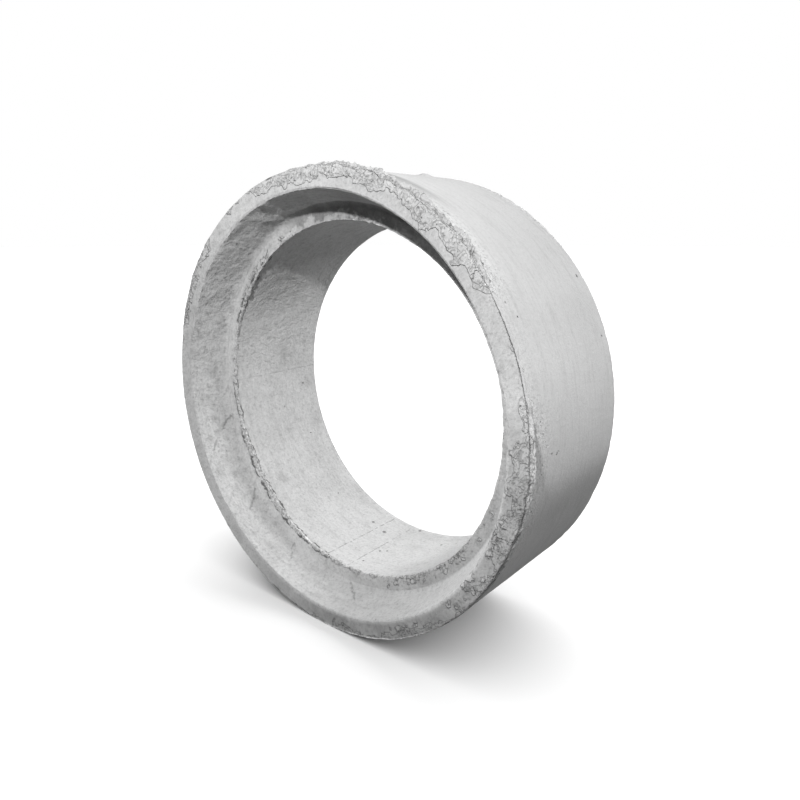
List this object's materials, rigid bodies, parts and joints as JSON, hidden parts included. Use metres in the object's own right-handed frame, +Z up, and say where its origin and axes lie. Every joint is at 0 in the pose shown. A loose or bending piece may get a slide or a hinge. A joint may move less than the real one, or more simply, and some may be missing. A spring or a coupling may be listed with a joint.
{
  "type": "concrete riser ring",
  "caption": "Round cast concrete shaft ring with a wide bore, a drafted socket joint at one end and a plain end at the other.",
  "frame": {"origin": "on the floor, below the middle of the ring as it stands on its rim", "axes": "+Z up, +Y along the ring's axis towards the plain end, so the socket end faces -Y"},
  "size_m": [1, 0.375, 0.9998],
  "materials": {
    "concrete": "cast concrete, matt, light grey, fine grained, with rough mortar flash at the socket end"
  },
  "bodies": {
    "root": {"riser_ring": "concrete"}
  },
  "joints": []
}
